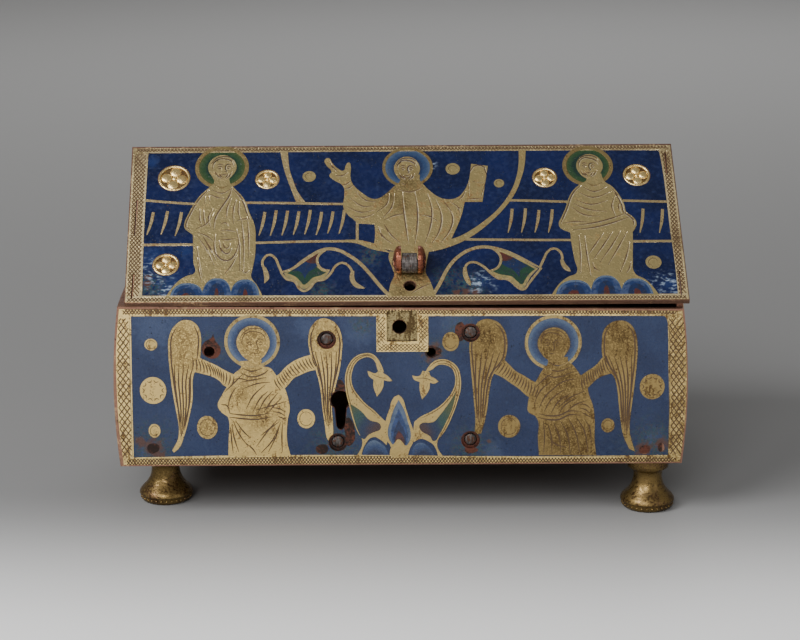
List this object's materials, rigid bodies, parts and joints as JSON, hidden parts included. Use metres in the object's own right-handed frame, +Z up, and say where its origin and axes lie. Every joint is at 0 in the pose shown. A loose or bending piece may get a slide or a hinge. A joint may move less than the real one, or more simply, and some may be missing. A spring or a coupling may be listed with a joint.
{
  "type": "reliquary casket",
  "caption": "Gabled metal casket of enamelled plates with a lift-off roof-shaped lid, standing on turned spool feet.",
  "frame": {"origin": "on the ground under the middle of the box, centre of the bounding box's underside", "axes": "+X along the casket to the right as seen from the front, the front with the keyhole faces -Y, +Z up"},
  "size_m": [0.1822, 0.0932, 0.112],
  "materials": {
    "blue_enamel_plate": "copper plate with medium blue enamel fused into it, gilt borders and figures",
    "dark_blue_enamel_plate": "copper plate with dark blue enamel fused into it, gilt borders and figures",
    "gilt_copper": "worn gilding with brown patina over copper",
    "bare_copper": "bare worn copper",
    "dark_iron": "dark rusted wrought iron"
  },
  "bodies": {
    "root": {"box_front_plate": "blue_enamel_plate", "box_back_plate": "blue_enamel_plate", "box_left_plate": "blue_enamel_plate", "box_right_plate": "blue_enamel_plate", "box_floor_plate": "bare_copper", "foot_front_left": "gilt_copper", "foot_front_right": "gilt_copper", "foot_back_left": "gilt_copper", "foot_back_right": "gilt_copper", "lid_front_plate": "dark_blue_enamel_plate", "lid_back_plate": "dark_blue_enamel_plate", "lid_left_gable": "blue_enamel_plate", "lid_right_gable": "blue_enamel_plate", "hasp_lug_left": "bare_copper", "hasp_lug_right": "bare_copper", "hasp_pin": "dark_iron", "lock_rivet_upper_left": "dark_iron", "lock_rivet_lower_left": "dark_iron", "lock_rivet_upper_right": "dark_iron", "lock_rivet_lower_right": "dark_iron"}
  },
  "joints": []
}
